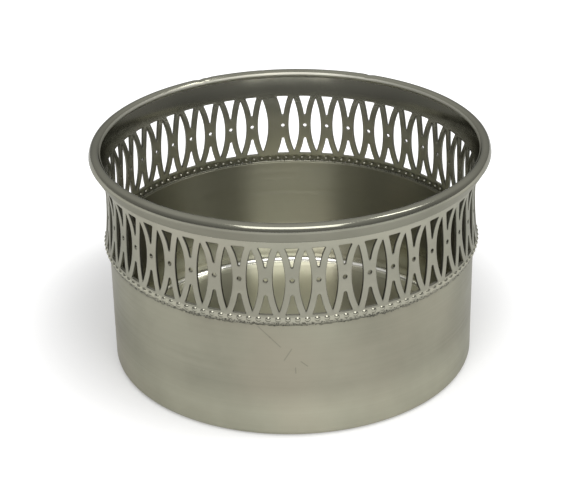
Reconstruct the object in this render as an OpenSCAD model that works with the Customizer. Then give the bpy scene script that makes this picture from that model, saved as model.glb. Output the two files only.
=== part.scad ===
// Wine bottle coaster: a drawn metal cup, a beaded border, a pierced gallery, a moulded rim and a felt pad.
// The axis of the cup is Z, the table is z = 0 and the photographed side faces -Y.

/* [Cup] */
// Outer radius of the straight wall
cup_r = 55; // [45:0.5:70]
// Thickness of the cup's sheet
cup_sheet = 0.8; // [0.5:0.1:1.2]
// Height of the cup's mouth above the table
mouth_z = 37.6; // [25:0.1:60]
// Outer radius of the rounded corner between wall and floor
corner_r = 1.9; // [1.4:0.1:4]
// Width of the flat ring that runs round the recess under the floor
ring_w = 3.6; // [2:0.1:8]
// Width of the sloping step from that ring to the raised floor
step_w = 0.9; // [0.5:0.1:2]

/* [Felt pad] */
// Thickness of the felt
felt_t = 0.9; // [0.6:0.1:1.5]
// How far the felt stands out below the ring
felt_proud = 0.3; // [0.1:0.1:0.5]
// Clearance between the felt's edge and the step
felt_clearance = 0.4; // [0.2:0.1:1]

/* [Gallery] */
// Thickness of the gallery's sheet
gallery_sheet = 0.8; // [0.5:0.1:1]
// How far the gallery's waist stands outside the cup's wall
waist_offset = 0.1; // [0:0.1:0.5]
// Height of the waist above the lens centres
waist_rise = 3.8; // [2:0.1:5]
// Radius of the long outward curve below the waist
foot_bend_r = 109; // [90:1:130]
// Radius of the tighter outward curve above the waist
lip_bend_r = 29.7; // [25:0.1:40]
// Height of the plain band above the lens openings, which the rim covers in part
top_band = 6.65; // [5:0.05:8]

/* [Piercing] */
// Length of strip that one crossed motif takes up
motif_pitch = 7.25; // [6:0.05:9]
// Greatest width of a lens opening
lens_w = 3.4; // [2:0.1:4]
// Height of a lens opening
lens_h = 18.5; // [16:0.1:19]
// Height of the plain band below the lens openings
foot_band = 1.45; // [1:0.05:2.5]
// Height of the lower tip of the upper opening above the lens centre
upper_tip = 3.9; // [3:0.1:6]
// Height of the flat top of the upper opening above the lens centre
upper_top = 10.1; // [8:0.1:10.5]
// Depth of the upper tip of the lower opening below the lens centre
lower_tip = 4.4; // [3:0.1:6]
// Depth of the flat base of the lower opening below the lens centre
lower_base = 10.2; // [8:0.1:10.4]
// Diameter of the hole drilled in the middle of each motif
dot_d = 1.2; // [0.6:0.1:1.6]
// Least plain width left beside the strip's seam
seam_margin = 1; // [0.5:0.1:3]
// Direction of the seam, seen from above
seam_azimuth = 95.7; // [0:0.1:360]

/* [Beaded border] */
// Thickness of the border's sheet
border_sheet = 0.8; // [0.5:0.1:1]
// How far the border laps down over the cup's wall
border_lap = 0.8; // [0.4:0.1:2]
// How far the border stands up above the mouth
border_rise = 2.3; // [2.2:0.1:3]
// Diameter of a bead
bead_d = 1.5; // [1:0.1:1.8]
// Length of strip from one bead to the next
bead_pitch = 2.7; // [2.2:0.05:4]
// Height of the bead row above the mouth
bead_rise = 1.45; // [1.4:0.05:1.5]
// Diameter of the dimple that the punch leaves inside each bead
dimple_d = 1.1; // [0.6:0.1:1.4]

/* [Rim] */
// Diameter of the roll along the top of the rim moulding
roll_d = 3.3; // [3:0.1:5]
// Height of the roll's centre above the gallery's top edge
roll_rise = 0.9; // [0.6:0.05:1]
// How far the roll's centre stands outside the middle of the gallery's top edge
roll_offset = 0.5; // [0.2:0.05:0.8]
// How far the moulding's skirt reaches down over the outside of the gallery
skirt_h = 3.2; // [2:0.1:4]
// Width of the skirt's lower edge
skirt_w = 0.8; // [0.3:0.05:1.2]
// Direction from the roll's centre to where the skirt joins it, below the level
skirt_lean = 34; // [20:1:50]
// Direction of the joint in the moulding, seen from above
rim_joint_azimuth = 102.4; // [0:0.1:360]
// Width of that joint
rim_joint = 0.2; // [0.1:0.05:0.5]

/* [Hidden] */
$fa = 2;
$fs = 0.2;

// Underside of the ring, and of the raised floor, which lies on the felt
ring_z = felt_proud;
floor_z = felt_t;
// Radius where the flat ring begins, and where the raised floor ends
ring_r = cup_r - corner_r - ring_w;
floor_r = ring_r - step_w;
corner_in_r = corner_r - cup_sheet;

bead_z = mouth_z + bead_rise;
border_top_z = mouth_z + border_rise;
border_low_z = mouth_z - border_lap;
lens_z = border_top_z + foot_band + lens_h / 2;
waist_r = cup_r + waist_offset;
waist_z = lens_z + waist_rise;
gallery_top_z = lens_z + lens_h / 2 + top_band;
rim_low_z = gallery_top_z - skirt_h;

// Outer radius of the gallery at height z, and its inner radius there
function bend_at(z) = z < waist_z ? foot_bend_r : lip_bend_r;
function outer_at(z) = waist_r + bend_at(z) - sqrt(pow(bend_at(z), 2) - pow(z - waist_z, 2));
function inner_at(z) = waist_r + bend_at(z)
    - sqrt(pow(bend_at(z) + gallery_sheet, 2) - pow(z - waist_z, 2));

// Heights at which the gallery's two curves are drawn, ending with the band that the rim covers
bend_steps = 3;
gallery_heights = concat(
    [for (k = [0 : bend_steps]) border_top_z + (waist_z - border_top_z) * k / bend_steps],
    [for (k = [1 : bend_steps]) waist_z + (rim_low_z - waist_z) * k / bend_steps],
    [gallery_top_z]
);

// The strip is pierced before it is bent, so its own length gives the number of motifs
strip_r = waist_r - gallery_sheet / 2;
strip_length = 2 * PI * strip_r;
motifs = floor((strip_length - seam_margin) / motif_pitch);
motif_angle = 360 * motif_pitch / strip_length;
// What the motifs leave over makes the wide bar at the seam
seam_angle = 360 - motifs * motif_angle;
first_motif = seam_azimuth - (seam_angle + motif_angle / 2) / 2;

// Each side of a lens is an arc, and the bars of the crosses follow it at an even width
lens_arc_r = (pow(lens_h, 2) + pow(lens_w, 2)) / (4 * lens_w);
bar_w = (motif_pitch - lens_w) / 2;

// The border meets the gallery's lower edge, and is drawn as one flat for each bead
border_r = outer_at(border_top_z);
beads = round(2 * PI * border_r / bead_pitch);
bead_angle = 360 / beads;

// Corners of a regular outline with one side for each bead, at the given radius to its flats
function flat_ring(flat_r) = [
    for (k = [0 : beads - 1], angle = (k + 0.5) * bead_angle)
        flat_r / cos(bead_angle / 2) * [cos(angle), sin(angle)]
];

// Centre of the rim's roll
rim_r = (inner_at(gallery_top_z) + outer_at(gallery_top_z)) / 2 + roll_offset;
roll_z = gallery_top_z + roll_rise;

metal = [0.72, 0.70, 0.64];
metal_light = [0.80, 0.79, 0.74];
metal_dark = [0.60, 0.59, 0.53];
felt_green = [0.16, 0.24, 0.17];

// A flat bar of sheet in the section, from one corner to the opposite one
module sheet_bar(from, to) {
    translate(from) square(to - from);
}

// Section of the drawn cup: raised floor, step, resting ring, rounded corner and wall
module cup_section() {
    sheet_bar([0, floor_z], [floor_r, floor_z + cup_sheet]);
    polygon([
        [floor_r, floor_z], [ring_r, ring_z],
        [ring_r, ring_z + cup_sheet], [floor_r, floor_z + cup_sheet]
    ]);
    sheet_bar([ring_r, ring_z], [cup_r - corner_r, ring_z + cup_sheet]);
    intersection() {
        translate([cup_r - corner_r, ring_z + corner_r]) difference() {
            circle(corner_r);
            circle(corner_in_r);
        }
        sheet_bar([cup_r - corner_r, ring_z], [cup_r, ring_z + corner_r]);
    }
    sheet_bar([cup_r - cup_sheet, ring_z + corner_r], [cup_r, mouth_z]);
}

// Section of the gallery: the long curve below the waist and the lip that flares above it
module gallery_section() {
    polygon(concat(
        [for (z = gallery_heights) [outer_at(z), z]],
        [for (k = [len(gallery_heights) - 1 : -1 : 0]) [inner_at(gallery_heights[k]), gallery_heights[k]]]
    ));
}

// Two circles, whose centres stand level on either side, at the given half distance
module paired_circles(r, half_distance) {
    for (side = [-1, 1]) translate([side * half_distance, 0]) circle(r);
}

// Pointed lens between two arcs
module lens_opening() {
    intersection_for(side = [-1, 1]) translate([side * (lens_arc_r - lens_w / 2), 0]) circle(lens_arc_r);
}

// Opening between two bars of a cross, from its blunt tip to its flat edge
module bar_opening(low, high) {
    difference() {
        sheet_bar([-motif_pitch / 2, low], [motif_pitch / 2, high]);
        paired_circles(lens_arc_r + bar_w, lens_arc_r + bar_w);
    }
}

// Radial cut through the gallery's sheet at one azimuth and height
module pierce(azimuth, z) {
    rotate(azimuth) translate([waist_r - 2 * gallery_sheet, 0, z]) rotate([90, 0, 90])
        linear_extrude(outer_at(gallery_top_z) - waist_r + 3 * gallery_sheet) children();
}

module piercings() {
    for (k = [0 : motifs - 1]) {
        azimuth = first_motif - k * motif_angle;
        pierce(azimuth, lens_z) bar_opening(upper_tip, upper_top);
        pierce(azimuth, lens_z) bar_opening(-lower_base, -lower_tip);
        pierce(azimuth, lens_z) circle(d = dot_d);
        pierce(azimuth - motif_angle / 2, lens_z) lens_opening();
    }
}

// Upright tube with one flat for each bead
module flatted_tube(flat_r, sheet, low_z, high_z) {
    translate([0, 0, low_z]) linear_extrude(high_z - low_z) difference() {
        polygon(flat_ring(flat_r));
        polygon(flat_ring(flat_r - sheet));
    }
}

// Round hem that laps over the outside of the cup's mouth
module border_hem() {
    translate([0, 0, border_low_z]) linear_extrude(border_lap) difference() {
        circle(cup_r + border_sheet);
        circle(cup_r);
    }
}

// A ring of balls on the bead row, with their centres at the given radius
module ball_ring(d, r) {
    for (k = [0 : beads - 1])
        rotate(k * bead_angle) translate([r, 0, bead_z]) sphere(d = d);
}

module cup() {
    color(metal) rotate_extrude() cup_section();
}

module bead_border() {
    color(metal) difference() {
        union() {
            flatted_tube(border_r, border_sheet, mouth_z, border_top_z);
            ball_ring(bead_d, border_r);
            border_hem();
        }
        ball_ring(dimple_d, border_r - border_sheet);
    }
}

module gallery() {
    color(metal_light) difference() {
        rotate_extrude() gallery_section();
        piercings();
    }
}

// Roll with a tapered skirt below it, slotted to seat over the gallery's top edge
module rim_section() {
    difference() {
        union() {
            translate([rim_r, roll_z]) circle(d = roll_d);
            polygon([
                [outer_at(rim_low_z), rim_low_z], [outer_at(rim_low_z) + skirt_w, rim_low_z],
                [rim_r + roll_d / 2 * cos(skirt_lean), roll_z - roll_d / 2 * sin(skirt_lean)],
                [rim_r, roll_z], [outer_at(gallery_top_z), gallery_top_z]
            ]);
        }
        polygon([
            [inner_at(rim_low_z), rim_low_z], [outer_at(rim_low_z), rim_low_z],
            [outer_at(gallery_top_z), gallery_top_z], [inner_at(gallery_top_z), gallery_top_z]
        ]);
    }
}

module rim() {
    joint_angle = 360 * rim_joint / (2 * PI * rim_r);
    color(metal_dark) rotate(rim_joint_azimuth + joint_angle / 2)
        rotate_extrude(angle = 360 - joint_angle) rim_section();
}

module felt_pad() {
    color(felt_green) cylinder(h = felt_t, r = floor_r - felt_clearance);
}

cup();
bead_border();
gallery();
rim();
felt_pad();
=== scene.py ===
import math

import bmesh
import bpy
import numpy as np
from mathutils import Matrix, Vector, noise
from mathutils.geometry import delaunay_2d_cdt


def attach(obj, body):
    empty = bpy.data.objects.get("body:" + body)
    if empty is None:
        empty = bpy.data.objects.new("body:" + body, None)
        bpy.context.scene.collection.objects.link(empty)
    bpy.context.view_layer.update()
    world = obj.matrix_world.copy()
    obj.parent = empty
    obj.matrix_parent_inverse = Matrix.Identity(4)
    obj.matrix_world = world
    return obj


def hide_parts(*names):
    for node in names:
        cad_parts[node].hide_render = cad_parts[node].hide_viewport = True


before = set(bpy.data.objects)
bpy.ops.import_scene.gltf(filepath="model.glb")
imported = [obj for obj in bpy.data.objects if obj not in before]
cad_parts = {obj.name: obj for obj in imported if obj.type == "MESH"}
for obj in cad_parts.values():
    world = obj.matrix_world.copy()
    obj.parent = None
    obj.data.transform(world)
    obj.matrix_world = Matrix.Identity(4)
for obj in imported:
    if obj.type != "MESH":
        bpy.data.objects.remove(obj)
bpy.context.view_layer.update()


# ---------------------------------------------------------------- cup
# A pan drawn from one sheet of silver-plated nickel brass: a floor raised on a resting ring, a
# tight corner and a straight wall, spun smooth. Years of cleaning left it satin, with a faint
# pinkish bloom and a few thin scratches below the beads.

MM = 0.001
SHEET = 0.8
CUP_R = 55.0
MOUTH_Z = 37.6
MOUTH_FILLET = 0.2
CORNER_R = 1.9
CORNER_INSIDE_R = 1.6
RING_Z = 0.3
RING_W = 3.6
FLOOR_Z = 0.9
FLOOR_STEP = 0.9
STEP_FILLET = 0.6


def filleted(corners):
    """Closed outline through (radius, height, fillet) corners, each rounded by its own fillet."""
    arc_step = 0.35
    outline = []
    for i, (r, z, fillet) in enumerate(corners):
        here = Vector((r, z))
        before = Vector(corners[i - 1][:2]) - here
        after = Vector(corners[(i + 1) % len(corners)][:2]) - here
        if fillet == 0:
            outline.append(here)
            continue
        a, b = before.normalized(), after.normalized()
        half = a.angle(b) / 2
        reach = fillet / math.tan(half)
        centre = here + (a + b).normalized() * fillet / math.sin(half)
        start, end = here + a * reach - centre, here + b * reach - centre
        turn = start.angle_signed(end)
        steps = max(2, math.ceil(abs(turn) * fillet / arc_step) + 1)
        for k in range(steps + 1):
            outline.append(centre + Matrix.Rotation(-turn * k / steps, 2) @ start)
    return outline


def divided(outline, longest):
    """The same outline with its long straight runs cut up, so that the sheet can carry waves."""
    points = []
    for here, there in zip(outline, outline[1:] + outline[:1]):
        steps = max(1, math.ceil((there - here).length / longest))
        points += [here.lerp(there, k / steps) for k in range(steps)]
    return points


def evened(piece):
    """Gives the piece a plain mesh, with what its modifiers made, shaded by its larger faces."""
    even = piece.modifiers.new("even_shading", "WEIGHTED_NORMAL")
    even.weight = 80
    even.keep_sharp = True
    bpy.context.view_layer.update()
    shown = piece.evaluated_get(bpy.context.evaluated_depsgraph_get())
    mesh = bpy.data.meshes.new_from_object(shown)
    piece.modifiers.clear()
    piece.data = mesh
    return piece


def turned(name, outline, around, wobble):
    """Solid ring or pan turned about Z from a closed outline in millimetres. What wobble gives for
    a place's angle, radius and height moves it outwards and upwards."""
    shape = bmesh.new()
    rows = []
    for k in range(around):
        angle = 2 * math.pi * k / around
        row = []
        for r, z in outline:
            dr, dz = wobble(angle, r, z)
            place = Vector(((r + dr) * math.cos(angle), (r + dr) * math.sin(angle), z + dz))
            row.append(shape.verts.new(place * MM))
        rows.append(row)
    for row, following in zip(rows, rows[1:] + rows[:1]):
        for i in range(len(outline)):
            j = (i + 1) % len(outline)
            if outline[i][0] == 0 and outline[j][0] == 0:
                continue
            shape.faces.new((row[i], row[j], following[j], following[i]))
    bmesh.ops.remove_doubles(shape, verts=shape.verts, dist=1e-7)
    bmesh.ops.recalc_face_normals(shape, faces=shape.faces)
    mesh = bpy.data.meshes.new(name)
    shape.to_mesh(mesh)
    shape.free()
    mesh.shade_smooth()
    piece = bpy.data.objects.new(name, mesh)
    bpy.context.collection.objects.link(piece)
    return evened(piece)


def feed(tree, made, feeds):
    """Sets or links a node's input sockets, given by name or place."""
    for key, value in feeds.items():
        if isinstance(value, bpy.types.NodeSocket):
            tree.links.new(value, made.inputs[key])
        else:
            made.inputs[key].default_value = value


def node(tree, kind, feeds=None, **settings):
    """Adds a node, with its settings and its feeds."""
    made = tree.nodes.new(kind)
    for key, value in settings.items():
        setattr(made, key, value)
    feed(tree, made, feeds or {})
    return made


def maths(tree, operation, *values):
    """Result of one sum on numbers."""
    made = node(tree, "ShaderNodeMath", dict(enumerate(values)), operation=operation)
    return made.outputs["Value"]


def vectors(tree, operation, a, b):
    """Result of one sum on two vectors, a number if it is a dot product or a distance."""
    made = node(tree, "ShaderNodeVectorMath", {0: a, 1: b}, operation=operation)
    return made.outputs["Value" if operation in ("DOT_PRODUCT", "DISTANCE") else "Vector"]


def ranged(tree, value, before, after, **settings):
    """The value carried from one range to another, and kept within it."""
    made = node(tree, "ShaderNodeMapRange", {
        "Value": value, "From Min": before[0], "From Max": before[1],
        "To Min": after[0], "To Max": after[1]}, **settings)
    return made.outputs["Result"]


def ramp(tree, factor, *ends):
    """Colour that runs from one end to the other, each a position and a colour."""
    made = node(tree, "ShaderNodeValToRGB", {"Fac": factor})
    for element, (position, colour) in zip(made.color_ramp.elements, ends):
        element.position, element.color = position, (*colour, 1)
    return made.outputs["Color"]


def scratch(tree, place, start, end):
    """How dark a place is for a thin scratch between two points of the wall in millimetres."""
    start, end = Vector(start) * MM, Vector(end) * MM
    middle, half = (start + end) / 2, (end - start).length / 2
    side = (end - start).cross(Vector((middle.x, middle.y, 0))).normalized()
    off = maths(tree, "SUBTRACT", vectors(tree, "DOT_PRODUCT", place, side), side.dot(middle))
    across = ranged(tree, maths(tree, "ABSOLUTE", off), (0.06 * MM, 0.24 * MM), (0.25, 0))
    along = ranged(tree, vectors(tree, "DISTANCE", place, middle), (0.8 * half, half), (1, 0))
    return maths(tree, "MULTIPLY", across, along)


def worn_silver(name, bright, dark, bloom, outside, inside, split, fade, brushed, brush_depth,
                spun=(0.0, 0.0), edges=(0.6, 0.3), specks=0.0, scratches=()):
    """Satin silver plate: a cloudy colour from dark to bright with patches of bloom, fine brushed
    lines, and darker faces where marked as cut, partly tarnished metal and partly painted shade.

    outside and inside hold two pairs each, for above and below the height called split, and fade
    is half the height of the change. A pair is a factor on the colour and a roughness. The factor
    is painted light and shade: it makes a side or a height of the metal brighter or darker, and
    the colour paler where it makes it brighter.
    brushed is how fine the lines are along each axis, and brush_depth how deep.
    spun and edges say, for outside and inside, how far the spinning stretches the shine and how
    bright the metal is edge on.
    specks is how dark the specks of solder below the split are, and scratches are pairs of points.
    """
    material = bpy.data.materials.new(name)
    material.use_nodes = True
    tree = material.node_tree
    coordinates = node(tree, "ShaderNodeTexCoord").outputs
    place = coordinates["Object"]
    height = node(tree, "ShaderNodeSeparateXYZ", {"Vector": place}).outputs["Z"]
    is_low = ranged(tree, height, (split + fade, split - fade), (0, 1))
    outward = vectors(tree, "DOT_PRODUCT", coordinates["Normal"], place)
    is_inside = ranged(tree, outward, (0.005, -0.005), (0, 1))

    def by_side(pair):
        return ranged(tree, is_inside, (0, 1), pair)

    # Picks a value by side and height: the roughness, or the factor of painted light and shade.
    def by_side_and_height(item):
        by_height = [ranged(tree, is_low, (0, 1), (above[item], below[item]))
                     for above, below in (outside, inside)]
        return node(tree, "ShaderNodeMix", {
            "Factor": is_inside, "A": by_height[0], "B": by_height[1]}).outputs[0]

    cloud = node(tree, "ShaderNodeTexNoise", {
        "Vector": place, "Scale": 42.0, "Detail": 4.0, "Roughness": 0.55}).outputs["Fac"]
    patch = node(tree, "ShaderNodeTexNoise", {
        "Vector": place, "Scale": 24.0, "Detail": 2.0, "W": 3.0},
        noise_dimensions="4D").outputs["Fac"]
    bloomed = node(tree, "ShaderNodeMix", {
        "Factor": ranged(tree, patch, (0.52, 0.72), (0, 0.55)),
        "A": ramp(tree, cloud, (0.36, dark), (0.62, bright)),
        "B": (*bloom, 1)}, data_type="RGBA").outputs[2]

    # Painted light and shade: this factor brightens or darkens the colour by side and height.
    painted_light_and_marks = by_side_and_height(0)
    if specks:
        grit = node(tree, "ShaderNodeTexNoise", {
            "Vector": place, "Scale": 2300.0, "Detail": 1.0}).outputs["Fac"]
        dot = maths(tree, "MULTIPLY", is_low, ranged(tree, grit, (0.53, 0.6), (0, specks)))
        painted_light_and_marks = maths(tree, "MULTIPLY", painted_light_and_marks, maths(tree, "SUBTRACT", 1, dot))
    for start, end in scratches:
        mark = maths(tree, "MULTIPLY", scratch(tree, place, start, end), by_side((1, 0)))
        painted_light_and_marks = maths(tree, "MULTIPLY", painted_light_and_marks, maths(tree, "SUBTRACT", 1, mark))
    # The colour turns paler where the painted light makes it brighter.
    paler = node(tree, "ShaderNodeHueSaturation", {
        "Color": bloomed, "Saturation": ranged(tree, painted_light_and_marks, (1.3, 2.5), (1, 0.4))}).outputs["Color"]
    # Faces marked as cut are darker: partly tarnish, partly painted shade in the openings.
    cut = node(tree, "ShaderNodeAttribute", attribute_name="cut").outputs["Fac"]
    tarnish_and_painted_shade = ranged(tree, cut, (0, 1), (1, 0.35))
    shown = node(tree, "ShaderNodeVectorMath", {
        0: paler, "Scale": maths(tree, "MULTIPLY", painted_light_and_marks, tarnish_and_painted_shade)},
        operation="SCALE").outputs["Vector"]

    stretched = node(tree, "ShaderNodeMapping", {"Vector": place, "Scale": brushed})
    lines = node(tree, "ShaderNodeTexNoise", {
        "Vector": stretched.outputs["Vector"], "Scale": 1.0, "Detail": 5.0,
        "Roughness": 0.7}).outputs["Fac"]
    worn = maths(tree, "ADD", ranged(tree, lines, (0.3, 0.7), (-0.05, 0.05)),
                 ranged(tree, cloud, (0.3, 0.7), (0.04, -0.04)))
    grain = node(tree, "ShaderNodeBump", {
        "Height": lines, "Distance": 0.06 * MM,
        "Strength": by_side((brush_depth, 0.1 * brush_depth))}).outputs["Normal"]
    feed(tree, tree.nodes["Principled BSDF"], {
        "Metallic": 1.0, "Base Color": shown, "Specular Tint": by_side(edges), "Normal": grain,
        "Roughness": maths(tree, "ADD", by_side_and_height(1), worn), "Anisotropic": by_side(spun),
        "Anisotropic Rotation": 0.25, "Tangent": vectors(tree, "CROSS_PRODUCT", (0, 0, 1), place)})
    return material


def cup_wobble(angle, r, z):
    """Slight waves in the spun wall, which die out at the corner and at the mouth."""
    hold = min(1, max(0, z - 3) / 8) * min(1, max(0, MOUTH_Z - 2 - z) / 8)
    place = Vector((math.cos(angle) * 1.6, math.sin(angle) * 1.6, z / 26))
    return noise.noise(place) * 0.07 * hold, 0


ring_r = CUP_R - CORNER_R - RING_W
floor_r = ring_r - FLOOR_STEP
cup_outline = filleted([
    (0, FLOOR_Z, 0),
    (floor_r, FLOOR_Z, STEP_FILLET),
    (ring_r, RING_Z, STEP_FILLET),
    (CUP_R, RING_Z, CORNER_R),
    (CUP_R, MOUTH_Z, MOUTH_FILLET),
    (CUP_R - SHEET, MOUTH_Z, MOUTH_FILLET),
    (CUP_R - SHEET, RING_Z + SHEET, CORNER_INSIDE_R),
    (ring_r, RING_Z + SHEET, STEP_FILLET),
    (floor_r, FLOOR_Z + SHEET, STEP_FILLET),
    (0, FLOOR_Z + SHEET, 0)])
cup = turned("cup_metal", divided(cup_outline, 3.0), 240, cup_wobble)
# Painted light: below the split the outside is brightened, a painted reflection of the table near the
# foot, and the floor and low inside wall far more, a painted highlight of the lamp.
cup.data.materials.append(worn_silver(
    "cup_silver", bright=(0.325, 0.318, 0.248), dark=(0.29, 0.286, 0.223),
    bloom=(0.318, 0.29, 0.226), outside=((0.88, 0.42), (1.13, 0.42)),
    inside=((0.9, 0.37), (2.5, 0.12)), split=0.012, fade=0.004, brushed=(6, 6, 1600),
    brush_depth=0.12, spun=(0.7, 0.95), edges=(0.7, 0.4), scratches=(
        ((-9.9, -54.1, 36.3), (-6.2, -54.6, 32.6)),
        ((-6.8, -54.6, 33.2), (-3.3, -54.9, 29.5)),
        ((-0.3, -55.0, 29.4), (-2.8, -54.9, 25.2)),
        ((1.9, -55.0, 25.2), (4.1, -54.8, 23.3)),
        ((0.5, -55.0, 23.3), (0.6, -55.0, 21.1)))))
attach(cup, "root")
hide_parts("cup")


# ---------------------------------------------------------------- beaded border
# A narrow stamped strip. A punch pushed each bead out from behind, which leaves a dimple inside,
# and the hem below is soldered over the cup's mouth, with a ragged line of speckled solder.

BORDER_R = 56.03
BORDER_TOP_Z = 39.9
BEADS = 130
BEAD_Z = 39.05
BEAD_D = 1.5
HEM_LAP = 1.0
HEM_TUCK = 0.2


def geometry_tree(name, inputs):
    """Empty Geometry Nodes tree with named inputs, and its input and output nodes."""
    tree = bpy.data.node_groups.new(name, "GeometryNodeTree")
    tree.is_modifier = True
    for label, kind in {"Geometry": "Geometry", **inputs}.items():
        tree.interface.new_socket(label, in_out="INPUT", socket_type="NodeSocket" + kind)
    tree.interface.new_socket("Geometry", in_out="OUTPUT", socket_type="NodeSocketGeometry")
    return tree, tree.nodes.new("NodeGroupInput").outputs, tree.nodes.new("NodeGroupOutput").inputs


def row_of(tree, piece, count, start, step):
    """Copies of a piece set out in a line."""
    line = node(tree, "GeometryNodeMeshLine", {
        "Count": count, "Start Location": start, "Offset": step})
    shape = node(tree, "GeometryNodeObjectInfo", {"Object": piece})
    return node(tree, "GeometryNodeInstanceOnPoints", {
        "Points": line.outputs["Mesh"], "Instance": shape.outputs["Geometry"]}).outputs["Instances"]


def strip_places(tree):
    """Where each point of a flat strip lies along it, into its sheet, and upwards."""
    place = node(tree, "GeometryNodeInputPosition").outputs["Position"]
    parts = node(tree, "ShaderNodeSeparateXYZ", {"Vector": place}).outputs
    return parts["X"], parts["Y"], parts["Z"]


def bend_into_ring(tree, strip, result, radius, height, turn, metal, weld):
    """Ends a tree: bends its strip round Z, welds the seams and gives it its metal."""
    spoke = node(tree, "ShaderNodeCombineXYZ", {"X": radius, "Z": height}).outputs["Vector"]
    bent = node(tree, "ShaderNodeVectorRotate", {"Vector": spoke, "Angle": turn},
                rotation_type="Z_AXIS").outputs["Vector"]
    made = node(tree, "GeometryNodeRealizeInstances", {"Geometry": strip})
    for kind, feeds in (
            ("SetPosition", {"Position": bent}), ("MergeByDistance", {"Distance": weld}),
            ("SetShadeSmooth", {}), ("SetMaterial", {"Material": metal})):
        made = node(tree, "GeometryNode" + kind, {"Geometry": made.outputs["Geometry"], **feeds})
    tree.links.new(made.outputs["Geometry"], result["Geometry"])


def sheet_object(name, points, faces, ends=()):
    """Smooth mesh object from points in millimetres, with crisp edges at the heights given."""
    mesh = bpy.data.meshes.new(name)
    mesh.from_pydata([Vector(p) * MM for p in points], [], faces)
    mesh.shade_smooth()
    for edge in mesh.edges:
        heights = [mesh.vertices[v].co.z / MM for v in edge.vertices]
        edge.use_edge_sharp = any(max(abs(h - end) for h in heights) < 1e-3 for end in ends)
    piece = bpy.data.objects.new(name, mesh)
    bpy.context.collection.objects.link(piece)
    return piece


def grown(name, tree, values, parts):
    """Runs a tree on an empty piece, keeps what it makes as a plain mesh and drops its parts."""
    piece = sheet_object(name, [], [])
    growth = piece.modifiers.new("growth", "NODES")
    growth.node_group = tree
    for item in tree.interface.items_tree:
        if item.in_out == "INPUT" and item.name in values:
            growth[item.identifier] = values[item.name]
    evened(piece)
    for part in parts:
        bpy.data.objects.remove(part)
    return piece


def bead_cell(width):
    """One bead of the strip between flat edges, with its face at depth 0 and its dimple behind."""
    dome = [(0, 0.42), (0.36, 0.36), (0.66, 0.2), (0.84, 0.06), (0.90, 0.0)]
    dimple = [(0, 0.62), (0.3, 0.5), (0.52, 0.12), (0.62, 0)]
    dome_share, dome_rise, dimple_depth = 0.8, 1.24, 0.9
    around = 12
    angles = [2 * math.pi * k / around for k in range(around)]
    cell_edge = []
    for angle in angles:
        c, s = math.cos(angle), math.sin(angle)
        stretch = 1 / max(abs(c), abs(s))
        c, s = c * stretch, s * stretch
        room = BORDER_TOP_Z - BEAD_Z if s > 0 else BEAD_Z - MOUTH_Z
        cell_edge.append((c * width / 2, BEAD_Z + s * room))
    points, faces, edge_rows = [], [], []
    for is_front, rings in ((True, dome), (False, dimple)):
        first = len(points)
        for share, rise in rings:
            radius = share * BEAD_D / 2 / dome_share
            depth = -rise * BEAD_D / dome_rise if is_front else SHEET - rise * dimple_depth
            if share == 0:
                points.append((0, depth, BEAD_Z))
                continue
            points += [(radius * math.cos(a), depth, BEAD_Z + radius * math.sin(a)) for a in angles]
        points += [(x, 0 if is_front else SHEET, z) for x, z in cell_edge]
        rows = [[first] * around]
        for ring in range(len(rings)):
            rows.append([first + 1 + ring * around + k for k in range(around)])
        for inner, outer in zip(rows, rows[1:]):
            for k in range(around):
                j = (k + 1) % around
                loop = list(dict.fromkeys((inner[k], outer[k], outer[j], inner[j])))
                faces.append(loop if is_front else loop[::-1])
        edge_rows.append(rows[-1])
    front, back = edge_rows
    for k in range(around):
        j = (k + 1) % around
        if {points[front[k]][2], points[front[j]][2]} in ({BORDER_TOP_Z}, {MOUTH_Z}):
            faces.append((front[j], front[k], back[k], back[j]))
    return points, faces


def bead_strip_tree():
    """Sets one bead cell after another along a line, and bends the line into a ring."""
    tree, given, result = geometry_tree("bead_strip", {
        "Bead": "Object", "Beads": "Int", "Pitch": "Float", "Radius": "Float", "Metal": "Material"})
    step = node(tree, "ShaderNodeCombineXYZ", {"X": given["Pitch"]}).outputs["Vector"]
    row = row_of(tree, given["Bead"], given["Beads"], (0, 0, 0), step)
    along, deep, up = strip_places(tree)
    share = maths(tree, "DIVIDE", along, maths(tree, "MULTIPLY", given["Beads"], given["Pitch"]))
    bend_into_ring(tree, row, result, maths(tree, "SUBTRACT", given["Radius"], deep), up,
                   maths(tree, "MULTIPLY", share, 2 * math.pi), given["Metal"], weld=2e-6)
    return tree


# Painted shade: outside, the hem below the beads is darker than the beaded strip above it.
border_silver = worn_silver(
    "border_silver", bright=(0.37, 0.362, 0.29), dark=(0.305, 0.305, 0.25),
    bloom=(0.354, 0.33, 0.265), outside=((0.86, 0.18), (0.74, 0.45)),
    inside=((0.85, 0.4), (0.85, 0.4)), split=0.0381, fade=0.0002, brushed=(700, 700, 700),
    brush_depth=0.7, specks=0.75)
bead_pitch = 2 * math.pi * BORDER_R / BEADS
cell = sheet_object("bead_cell", *bead_cell(bead_pitch), ends=(MOUTH_Z, BORDER_TOP_Z))
beads = grown("bead_strip", bead_strip_tree(), {
    "Bead": cell, "Beads": BEADS, "Pitch": bead_pitch * MM, "Radius": BORDER_R * MM,
    "Metal": border_silver}, [cell])
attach(beads, "root")
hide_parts("bead_border")


def ragged(angle, r, z):
    """Solder that ran a little below the hem, and stands in small grains."""
    place = Vector((math.cos(angle), math.sin(angle), 0)) * 70
    low = max(0, MOUTH_Z - 0.1 - z)
    outside = max(0, r - CUP_R)
    grain = noise.noise(place * 2.3 + Vector((0, 0, z * 3))) * 0.9 * min(low, 0.5)
    bulge = noise.noise(place) * 0.5 * min(outside, 0.3) * min(low, 0.6)
    run = noise.noise(place + Vector((9, 4, 2))) * 0.7 * min(low, 0.9)
    return bulge + grain * min(1, 4 * outside), run


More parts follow.
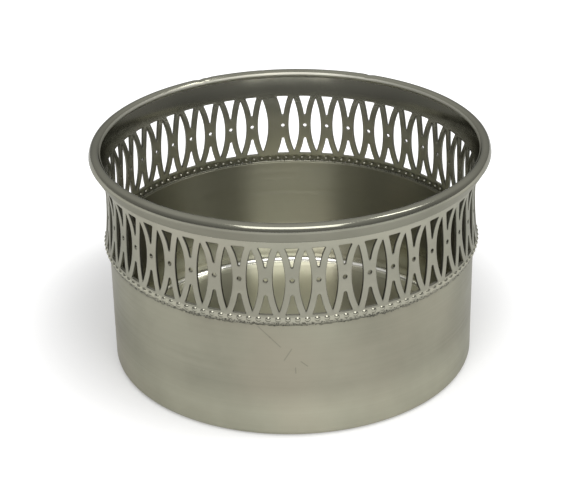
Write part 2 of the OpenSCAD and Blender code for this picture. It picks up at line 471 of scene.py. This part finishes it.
hem_outline = filleted([
    (CUP_R - 0.05, MOUTH_Z - HEM_LAP, 0),
    (CUP_R + 0.12, MOUTH_Z - HEM_LAP, 0.05),
    (CUP_R + 0.5, MOUTH_Z - 0.6, 0.2),
    (BORDER_R - 0.12, MOUTH_Z, 0.1),
    (BORDER_R - 0.1, MOUTH_Z + HEM_TUCK, 0),
    (CUP_R - 0.05, MOUTH_Z + HEM_TUCK, 0)])
hem = turned("border_hem", divided(hem_outline, 0.3), 720, ragged)
hem.data.materials.append(border_silver)
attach(hem, "root")


# ---------------------------------------------------------------- pierced gallery
# A strip pierced flat with crossed bars between pointed lenses, one hole drilled in each crossing,
# then bent round and soldered end to end at the wide plain bar. It draws in to a waist and flares
# to the rim.

MOTIFS = 47
PITCH = 7.25
STRIP_R = 54.7
SEAM_LENGTH = 2 * math.pi * STRIP_R - MOTIFS * PITCH
FIRST_MOTIF = 92.26
LENS_Z = 50.6
LENS_W = 3.4
LENS_H = 18.86
LENS_TIP_R = 0.1
BAR_R = 27.94
GAP_CORNER_R = 0.22
UPPER_GAP = (3.78, 10.1)
LOWER_GAP = (4.43, 10.2)
DRILL_R = 0.6
EDGE_ROUND = 0.13
GALLERY_LOW_Z = BORDER_TOP_Z - 0.25
GALLERY_TOP_Z = 66.5
WAIST_R = 55.1
WAIST_Z = 54.4
FOOT_BEND = 109
LIP_BEND = 29.7


def arc(centre, radius, start, end, spacing):
    """Points along an arc, from one angle in degrees to another."""
    steps = max(2, round(abs(math.radians(end - start)) * radius / spacing))
    return [(centre[0] + radius * math.cos(math.radians(start + (end - start) * k / steps)),
             centre[1] + radius * math.sin(math.radians(start + (end - start) * k / steps)))
            for k in range(steps + 1)]


def half_lens(out):
    """Left side of a lens about its own centre, from lower tip to upper tip, grown by out."""
    side_r = (LENS_H ** 2 + LENS_W ** 2) / (4 * LENS_W)
    side_x = side_r - LENS_W / 2
    tip_z = math.sqrt((side_r - LENS_TIP_R) ** 2 - side_x ** 2)
    lean = math.degrees(math.asin(tip_z / (side_r - LENS_TIP_R)))
    lower = arc((0, -tip_z), LENS_TIP_R + out, -90, -180 + lean, 0.1)
    side = arc((side_x, 0), side_r + out, 180 + lean, 180 - lean, 0.7)
    upper = arc((0, tip_z), LENS_TIP_R + out, 180 - lean, 90, 0.1)
    return lower[:-1] + side + upper[1:]


def bar_gap(tip, edge, out):
    """Opening above a crossing, between two bars, about the crossing's centre, grown by out."""
    tip_r = tip ** 2 / (2 * BAR_R - 2 * tip)
    tip_z = tip + tip_r
    lean = math.degrees(math.atan2(tip_z, BAR_R))
    corner_z = edge - GAP_CORNER_R
    corner_x = BAR_R - math.sqrt((BAR_R + GAP_CORNER_R) ** 2 - corner_z ** 2)
    corner_lean = math.degrees(math.asin(corner_z / (BAR_R + GAP_CORNER_R)))
    right = arc((0, tip_z), tip_r + out, -90, -lean, 0.15)
    right += arc((BAR_R, 0), BAR_R - out, 180 - lean, 180 - corner_lean, 0.7)[1:]
    right += arc((corner_x, corner_z), GAP_CORNER_R + out, -corner_lean, 90, 0.15)[1:]
    left = [(-x, z) for x, z in right[:0:-1]]
    return right + [(0, edge + out)] + left


def placed(chain, x, side=1):
    """A chain of points moved to x along the strip and to the lens's height, or mirrored there."""
    return [(x + side * u, LENS_Z + v) for u, v in chain]


def outlines(left, right, out):
    """Sides of the half lenses at a panel's two ends, and the openings between, grown by out."""
    sides = [placed(half_lens(out), right), placed(half_lens(out), left, -1)]
    lower = [(x, 2 * LENS_Z - z) for x, z in placed(bar_gap(*LOWER_GAP, out), 0)]
    drilled = arc((0, LENS_Z), DRILL_R + out, 0, 330, 0.3)
    return sides, [placed(bar_gap(*UPPER_GAP, out), 0), lower, drilled]


def within(points, polygon):
    """Which of the points lie in a closed polygon."""
    x, z = points[:, 0, None], points[:, 1, None]
    a = np.array(polygon)
    b = np.roll(a, -1, axis=0)
    crosses = (a[:, 1] > z) != (b[:, 1] > z)
    with np.errstate(divide="ignore", invalid="ignore"):
        at = a[:, 0] + (z - a[:, 1]) * (b[:, 0] - a[:, 0]) / (b[:, 1] - a[:, 1])
    return (crosses & (x < at)).sum(axis=1) % 2 == 1


def panel_grid(left, right, spacing, holes, fringe):
    """Staggered points over the metal of a panel, clear of its openings and of their edges."""
    clearance = 0.42
    grid = []
    rows = round((GALLERY_TOP_Z - GALLERY_LOW_Z) / (spacing * 0.87))
    columns = round((right - left) / spacing)
    for j in range(1, rows):
        z = GALLERY_LOW_Z + (GALLERY_TOP_Z - GALLERY_LOW_Z) * j / rows
        shift = 0.25 if j % 2 else 0.75
        grid += [(left + (right - left) * (i + shift) / columns, z) for i in range(columns)]
    grid = np.array(grid)
    clear = np.min(np.linalg.norm(grid[:, None] - fringe[None], axis=2), axis=1) > clearance
    solid = ~np.any([within(grid, hole) for hole in holes], axis=0)
    return [(float(x), float(z)) for x, z in grid[clear & solid]]


def triangulated(points, levels, edges, holes):
    """Fills the metal between the openings with triangles, and gives their points and depths."""
    verts, _, tris, origins, _, _ = delaunay_2d_cdt([Vector(p) for p in points], edges, [], 0, 1e-5)
    flat = np.array([tuple(v) for v in verts])
    depths = [max(levels[o] for o in source) for source in origins]
    centres = np.array([flat[list(t)].mean(axis=0) for t in tris])
    dropped = np.any([within(centres, hole) for hole in holes], axis=0)
    kept = []
    for t, drop in zip(tris, dropped):
        a, b, c = (flat[i] for i in t)
        area = (b[0] - a[0]) * (c[1] - a[1]) - (b[1] - a[1]) * (c[0] - a[0])
        if not drop and abs(area) > 1e-9:
            kept.append(t if area > 0 else t[::-1])
    return flat, depths, kept


def gallery_panel(name, plain):
    """Flat piece of the strip with one crossing and half a lens at each end, as a rounded sheet.
    The length given as plain is left unpierced between the crossing and the right end's lens."""
    spacing = 0.85
    left, right = -PITCH / 2, PITCH / 2 + plain
    points, levels, edges = [], [], []

    def run(chain, depth=0, closed=False):
        first = len(points)
        points.extend(chain)
        levels.extend([depth] * len(chain))
        edges.extend((first + k, first + k + 1) for k in range(len(chain) - 1))
        if closed:
            edges.append((first + len(chain) - 1, first))

    lens = half_lens(0)
    whole = lens + [(-x, z) for x, z in lens[::-1]]
    holes = [placed(whole, right), placed(whole, left)] + outlines(left, right, 0)[1]
    for out, depth in ((0, EDGE_ROUND), (0.3 * EDGE_ROUND, 0.3 * EDGE_ROUND), (EDGE_ROUND, 0)):
        sides, loops = outlines(left, right, out)
        for side in sides:
            run(side, depth)
        for loop in loops:
            run(loop, depth, closed=True)
    fringe = np.array([point for chain in sides + loops for point in chain])

    for z in (GALLERY_LOW_Z, GALLERY_TOP_Z):
        count = round((right - left) / spacing)
        run([(left + (right - left) * k / count, z) for k in range(count + 1)])
    tip = half_lens(EDGE_ROUND)[-1][1]
    loose = []
    for x in (left, right):
        for start, end in ((GALLERY_LOW_Z, LENS_Z - tip), (LENS_Z + tip, GALLERY_TOP_Z)):
            count = max(2, round((end - start) / spacing))
            loose += [(x, start + (end - start) * k / count) for k in range(count + 1)]
    loose += panel_grid(left, right, spacing, holes, fringe)
    points += loose
    levels += [0] * len(loose)

    flat, depths, kept = triangulated(points, levels, edges, holes)
    count = len(flat)
    solid_points = [(x, depth, z) for (x, z), depth in zip(flat, depths)]
    solid_points += [(x, SHEET - depth, z) for (x, z), depth in zip(flat, depths)]
    faces = [tuple(t) for t in kept] + [tuple(i + count for i in t[::-1]) for t in kept]
    # How much darker each face is: partly tarnish on the cut metal, partly painted shade.
    cut_tarnish_and_shade = [0.7 if any(depths[i] > 0 for i in t) else 0.0 for t in kept] * 2
    links = [link for t in kept for link in zip(t, t[1:] + t[:1])]
    shared = set(links)
    for i, j in links:
        at_end = all(min(abs(flat[e][0] - left), abs(flat[e][0] - right)) < 1e-4 for e in (i, j))
        if (j, i) in shared or at_end:
            continue
        faces.append((j, i, i + count, j + count))
        # The painted shade is left off walls that face up, which catch the light.
        faces_up = flat[i][0] - flat[j][0] > 0.8 * np.linalg.norm(flat[i] - flat[j])
        cut_tarnish_and_shade.append(0.0 if faces_up else 1.0)
    panel = sheet_object(name, solid_points, faces, ends=(GALLERY_LOW_Z, GALLERY_TOP_Z))
    panel.data.attributes.new("cut", "FLOAT", "FACE").data.foreach_set("value", cut_tarnish_and_shade)
    return panel


def gallery_tree():
    """Sets the motifs in a row, ends it with the seam's panel, and bends it to the waisted form."""
    tree, given, result = geometry_tree("pierced_strip", {
        "Motif": "Object", "Seam": "Object", "Motifs": "Int", "Pitch": "Float",
        "Strip Radius": "Float", "First Motif": "Float", "Waist Radius": "Float",
        "Waist Height": "Float", "Foot Bend": "Float", "Lip Bend": "Float", "Metal": "Material"})
    back = node(tree, "ShaderNodeCombineXYZ", {
        "X": maths(tree, "MULTIPLY", given["Pitch"], -1)}).outputs["Vector"]
    row = row_of(tree, given["Motif"], maths(tree, "SUBTRACT", given["Motifs"], 1), back, back)
    seam = node(tree, "GeometryNodeObjectInfo", {"Object": given["Seam"]})
    strip = node(tree, "GeometryNodeJoinGeometry")
    for part in (row, seam.outputs["Geometry"]):
        tree.links.new(part, strip.inputs["Geometry"])
    along, deep, up = strip_places(tree)
    above = maths(tree, "SUBTRACT", up, given["Waist Height"])
    flare = maths(tree, "GREATER_THAN", above, 0)
    foot = maths(tree, "SUBTRACT", 1, flare)
    bend = maths(tree, "ADD", maths(tree, "MULTIPLY", flare, given["Lip Bend"]),
                 maths(tree, "MULTIPLY", foot, given["Foot Bend"]))
    reach = maths(tree, "ADD", bend, deep)
    drop = maths(tree, "SQRT", maths(tree, "SUBTRACT", maths(tree, "MULTIPLY", reach, reach),
                                     maths(tree, "MULTIPLY", above, above)))
    radius = maths(tree, "SUBTRACT", maths(tree, "ADD", given["Waist Radius"], bend), drop)
    turn = maths(tree, "ADD", maths(tree, "DIVIDE", along, given["Strip Radius"]),
                 given["First Motif"])
    bend_into_ring(tree, strip.outputs["Geometry"], result, radius, up, turn, given["Metal"],
                   weld=5e-6)
    return tree


# Painted light and shade: inside, the flare is darkened and the part below it brightened; outside,
# the part below the flare is darker than the flare.
gallery_silver = worn_silver(
    "gallery_silver", bright=(0.37, 0.362, 0.294), dark=(0.33, 0.33, 0.265),
    bloom=(0.362, 0.338, 0.274), outside=((0.9, 0.42), (0.75, 0.42)),
    inside=((0.54, 0.18), (1.28, 0.5)), split=0.058, fade=0.005, brushed=(60, 60, 260),
    brush_depth=0.08, edges=(0.7, 0.3))
motif_panel = gallery_panel("motif_panel", 0)
seam_panel = gallery_panel("seam_panel", SEAM_LENGTH)
gallery = grown("gallery_strip", gallery_tree(), {
    "Motif": motif_panel, "Seam": seam_panel, "Motifs": MOTIFS, "Pitch": PITCH * MM,
    "Strip Radius": STRIP_R * MM, "First Motif": math.radians(FIRST_MOTIF),
    "Waist Radius": WAIST_R * MM, "Waist Height": WAIST_Z * MM, "Foot Bend": FOOT_BEND * MM,
    "Lip Bend": LIP_BEND * MM, "Metal": gallery_silver}, [motif_panel, seam_panel])
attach(gallery, "root")
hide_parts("gallery")


# ---------------------------------------------------------------- rim
# A full moulding, slotted to sit over the gallery's top edge and soldered there. Its ends meet at a
# butt joint at the back, and small dents in the top show that it has been knocked.

ROLL_Z = 67.4
ROLL_D = 3.3
SKIRT_Z = 63.3
SLOT_Z = GALLERY_TOP_Z + 0.02
DENTS = ((119.7, 0.28, 1.1), (116.9, 0.14, 0.8), (63.3, 0.22, 1.0))
JOINT_EDGES = (102.4, 98.3)
FACE_START = (59.36, 66.6)
FACE_ARCS = ((0.4, -25, 5), (3.6, 5, 31), (1.1, 31, 50), (1.84, 50, 90), (1.3, 90, 128),
             (2.6, 128, 152), (0.6, 152, 230))


def rim_wobble(angle, r, z):
    """Dents, each with a direction, a depth and a spread, the joint's fine grooves, and waves."""
    top = max(0, z - ROLL_Z) / (ROLL_D / 2)
    sink = 0
    for azimuth, depth, spread in DENTS + tuple((edge, 0.05, 0.18) for edge in JOINT_EDGES):
        away = math.degrees(angle) - azimuth
        sink += depth * math.exp(-(away / spread) ** 2)
    wave = noise.noise(Vector((math.cos(angle) * 2.2, math.sin(angle) * 2.2, 5))) * 0.05
    return (wave - 0.5 * sink * top) * min(1, max(0, z - SKIRT_Z)), (wave * 0.5 - sink) * top


def face_of(start, arcs):
    """Outline from a start through arcs, each a radius and its first and last spoke in degrees."""
    outline = [Vector(start)]
    steps = 12
    for radius, first, last in arcs:
        turns = [math.radians(first + (last - first) * k / steps) for k in range(steps + 1)]
        spokes = [Vector((math.cos(turn), math.sin(turn))) for turn in turns]
        centre = outline[-1] - radius * spokes[0]
        outline += [centre + radius * spoke for spoke in spokes[1:]]
    return outline


# The slot's top from inside to outside, the skirt's foot, and where the skirt meets the roll.
slot_and_skirt = filleted([
    (56.78, SLOT_Z, 0.1), (57.70, SLOT_Z, 0),
    (56.49, SKIRT_Z, 0), (57.44, SKIRT_Z, 0.07), (58.3, 64.8, 0)])
rim_outline = face_of(FACE_START, FACE_ARCS) + slot_and_skirt
rim = turned("rim_moulding", divided(rim_outline, 0.8), 480, rim_wobble)
# Painted light: the inner side of the roll is brightened, and its underside far more.
rim.data.materials.append(worn_silver(
    "rim_silver", bright=(0.28, 0.277, 0.225), dark=(0.25, 0.247, 0.2),
    bloom=(0.268, 0.256, 0.204), outside=((1.0, 0.14), (0.98, 0.5)),
    inside=((1.8, 0.5), (3.2, 0.6)), split=0.0671, fade=0.0003, brushed=(30, 30, 500),
    brush_depth=0.04))
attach(rim, "root")
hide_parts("rim")


# ---------------------------------------------------------------- felt pad
# A disc of dense green felt glued into the recess under the raised floor. It stands just proud of
# the resting ring, so that the coaster slides on the table without scratching it.

FELT_GAP = 0.4
FELT_TOP_Z = FLOOR_Z - 0.01


def felt_wobble(angle, r, z):
    """Uneven cut edge and slightly uneven faces, never below the table."""
    place = Vector((r * math.cos(angle), r * math.sin(angle), z * 3))
    cut_edge = noise.noise(place * 1.3) * 0.12 if r > 40 else 0
    return cut_edge, max(-z, noise.noise(place * 0.9) * 0.03)


felt_material = bpy.data.materials.new("green_felt")
felt_material.use_nodes = True
felt_tree = felt_material.node_tree
fibres = node(felt_tree, "ShaderNodeTexNoise", {
    "Vector": node(felt_tree, "ShaderNodeTexCoord").outputs["Object"],
    "Scale": 900.0, "Detail": 6.0}).outputs["Fac"]
nap = node(felt_tree, "ShaderNodeBump", {"Height": fibres, "Strength": 0.5, "Distance": 0.2 * MM})
feed(felt_tree, felt_tree.nodes["Principled BSDF"], {
    "Base Color": ramp(felt_tree, fibres, (0.3, (0.02, 0.05, 0.03)), (0.75, (0.06, 0.12, 0.075))),
    "Roughness": 0.95, "Sheen Weight": 0.3, "Normal": nap.outputs["Normal"]})

felt_r = floor_r - FELT_GAP
felt_outline = filleted([
    (0, 0, 0), (felt_r, 0, 0.2), (felt_r, FELT_TOP_Z, 0.1), (0, FELT_TOP_Z, 0)])
felt = turned("felt_disc", divided(felt_outline, 2.0), 160, felt_wobble)
felt.data.materials.append(felt_material)
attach(felt, "root")
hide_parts("felt_pad")


# ---------------------------------------------------------------- table and light
# A white table, a large soft light behind and above the camera, a narrow window at the right, and a
# dim grey room that is lighter above and at the back, which the metal shows as its bands.

TABLE_HALF = 1.2

table_mesh = bpy.data.meshes.new("table")
table_corners = [(TABLE_HALF * x, TABLE_HALF * y, 0) for x, y in ((-1, -1), (1, -1), (1, 1), (-1, 1))]
table_mesh.from_pydata(table_corners, [], [(0, 1, 2, 3)])
table = bpy.data.objects.new("table", table_mesh)
bpy.context.collection.objects.link(table)

# The table glows for the rays that look at it, less so near the coaster, where its shadow stays.
# The weaker glow there, most of all towards the back left, also paints a soft shadow round it.
table_material = bpy.data.materials.new("white_table")
table_material.use_nodes = True
table_tree = table_material.node_tree
table_surface = table_tree.nodes["Principled BSDF"]
feed(table_tree, table_surface, {
    "Base Color": (0.70, 0.70, 0.70, 1), "Roughness": 0.9, "Specular IOR Level": 0.1})
rays = node(table_tree, "ShaderNodeLightPath").outputs
seen = maths(table_tree, "MAXIMUM", rays["Is Camera Ray"], rays["Is Glossy Ray"])
seen = maths(table_tree, "MAXIMUM", seen, rays["Is Transmission Ray"])
table_place = node(table_tree, "ShaderNodeTexCoord").outputs["Object"]
away = vectors(table_tree, "DISTANCE", table_place, (-0.006, 0.024, 0))
glow_round_painted_shadow = ranged(table_tree, away, (0.055, 0.105), (0.14, 0.60), interpolation_type="SMOOTHSTEP")
glow = node(table_tree, "ShaderNodeEmission", {
    "Color": (1, 1, 1, 1), "Strength": maths(table_tree, "MULTIPLY", seen, glow_round_painted_shadow)})
both_layers = node(table_tree, "ShaderNodeAddShader", {
    0: table_surface.outputs["BSDF"], 1: glow.outputs["Emission"]})
feed(table_tree, table_tree.nodes["Material Output"], {"Surface": both_layers.outputs["Shader"]})
table_mesh.materials.append(table_material)


def soft_light(name, azimuth, elevation, distance, width, height, watts):
    """Rectangle of light that looks at the coaster from a direction in degrees."""
    lamp = bpy.data.lights.new(name, "AREA")
    lamp.shape = "RECTANGLE"
    lamp.size, lamp.size_y, lamp.energy = width, height, watts
    holder = bpy.data.objects.new(name, lamp)
    a, e = math.radians(azimuth), math.radians(elevation)
    direction = Vector((math.cos(a) * math.cos(e), math.sin(a) * math.cos(e), math.sin(e)))
    holder.location = direction * distance
    holder.rotation_euler = (-holder.location).to_track_quat("-Z", "Y").to_euler()
    bpy.context.collection.objects.link(holder)


soft_light("front_light", -90, 46.5, 1.4, width=1.24, height=0.82, watts=11.2)
soft_light("right_light", -4, 54, 1.5, width=0.2, height=0.6, watts=2.8)

world = bpy.data.worlds.new("grey_room")
bpy.context.scene.world = world
world.use_nodes = True
room = world.node_tree
heading = node(room, "ShaderNodeSeparateXYZ", {
    "Vector": node(room, "ShaderNodeTexCoord").outputs["Generated"]}).outputs
low_room = maths(room, "ADD", ranged(room, heading["Y"], (-0.5, 0.6), (0.15, 0.45)),
                 ranged(room, heading["Y"], (-0.9, -0.3), (0.12, 0)))
light = node(room, "ShaderNodeMix", {"Factor": heading["Z"], "A": low_room, "B": 0.85},
             data_type="FLOAT")
feed(room, room.nodes["Background"], {"Color": (1, 1, 1, 1), "Strength": light.outputs[0]})


# ---------------------------------------------------------------- camera
# It stands in front of the coaster and looks down at it by about thirty degrees, from the place
# that the outline and the rows of openings were fitted to.

SENSOR_MM = 36
PHOTO_WIDTH_PX = 580
FOCAL_PX = 1691.63
RISE = math.radians(29.92)
ROLL = math.radians(-1.046)
DISTANCE_IN_CUP_R = 9.671
AIM_IN_CUP_R = Vector((-0.009, 0, 0.581))

camera_data = bpy.data.cameras.new("camera")
camera_data.sensor_fit = "HORIZONTAL"
camera_data.sensor_width = SENSOR_MM
camera_data.lens = FOCAL_PX / PHOTO_WIDTH_PX * SENSOR_MM
camera = bpy.data.objects.new("camera", camera_data)
bpy.context.collection.objects.link(camera)
stand = Vector((0, -math.cos(RISE), math.sin(RISE))) * DISTANCE_IN_CUP_R * CUP_R * MM
forward = (AIM_IN_CUP_R * CUP_R * MM - stand).normalized()
level_right = forward.cross(Vector((0, 0, 1))).normalized()
level_up = level_right.cross(forward)
right_axis = math.cos(ROLL) * level_right + math.sin(ROLL) * level_up
up_axis = -math.sin(ROLL) * level_right + math.cos(ROLL) * level_up
turned_camera = Matrix((right_axis, up_axis, -forward)).transposed().to_4x4()
camera.matrix_world = Matrix.Translation(stand) @ turned_camera
bpy.context.scene.camera = camera
bpy.context.scene.view_settings.view_transform = "Standard"
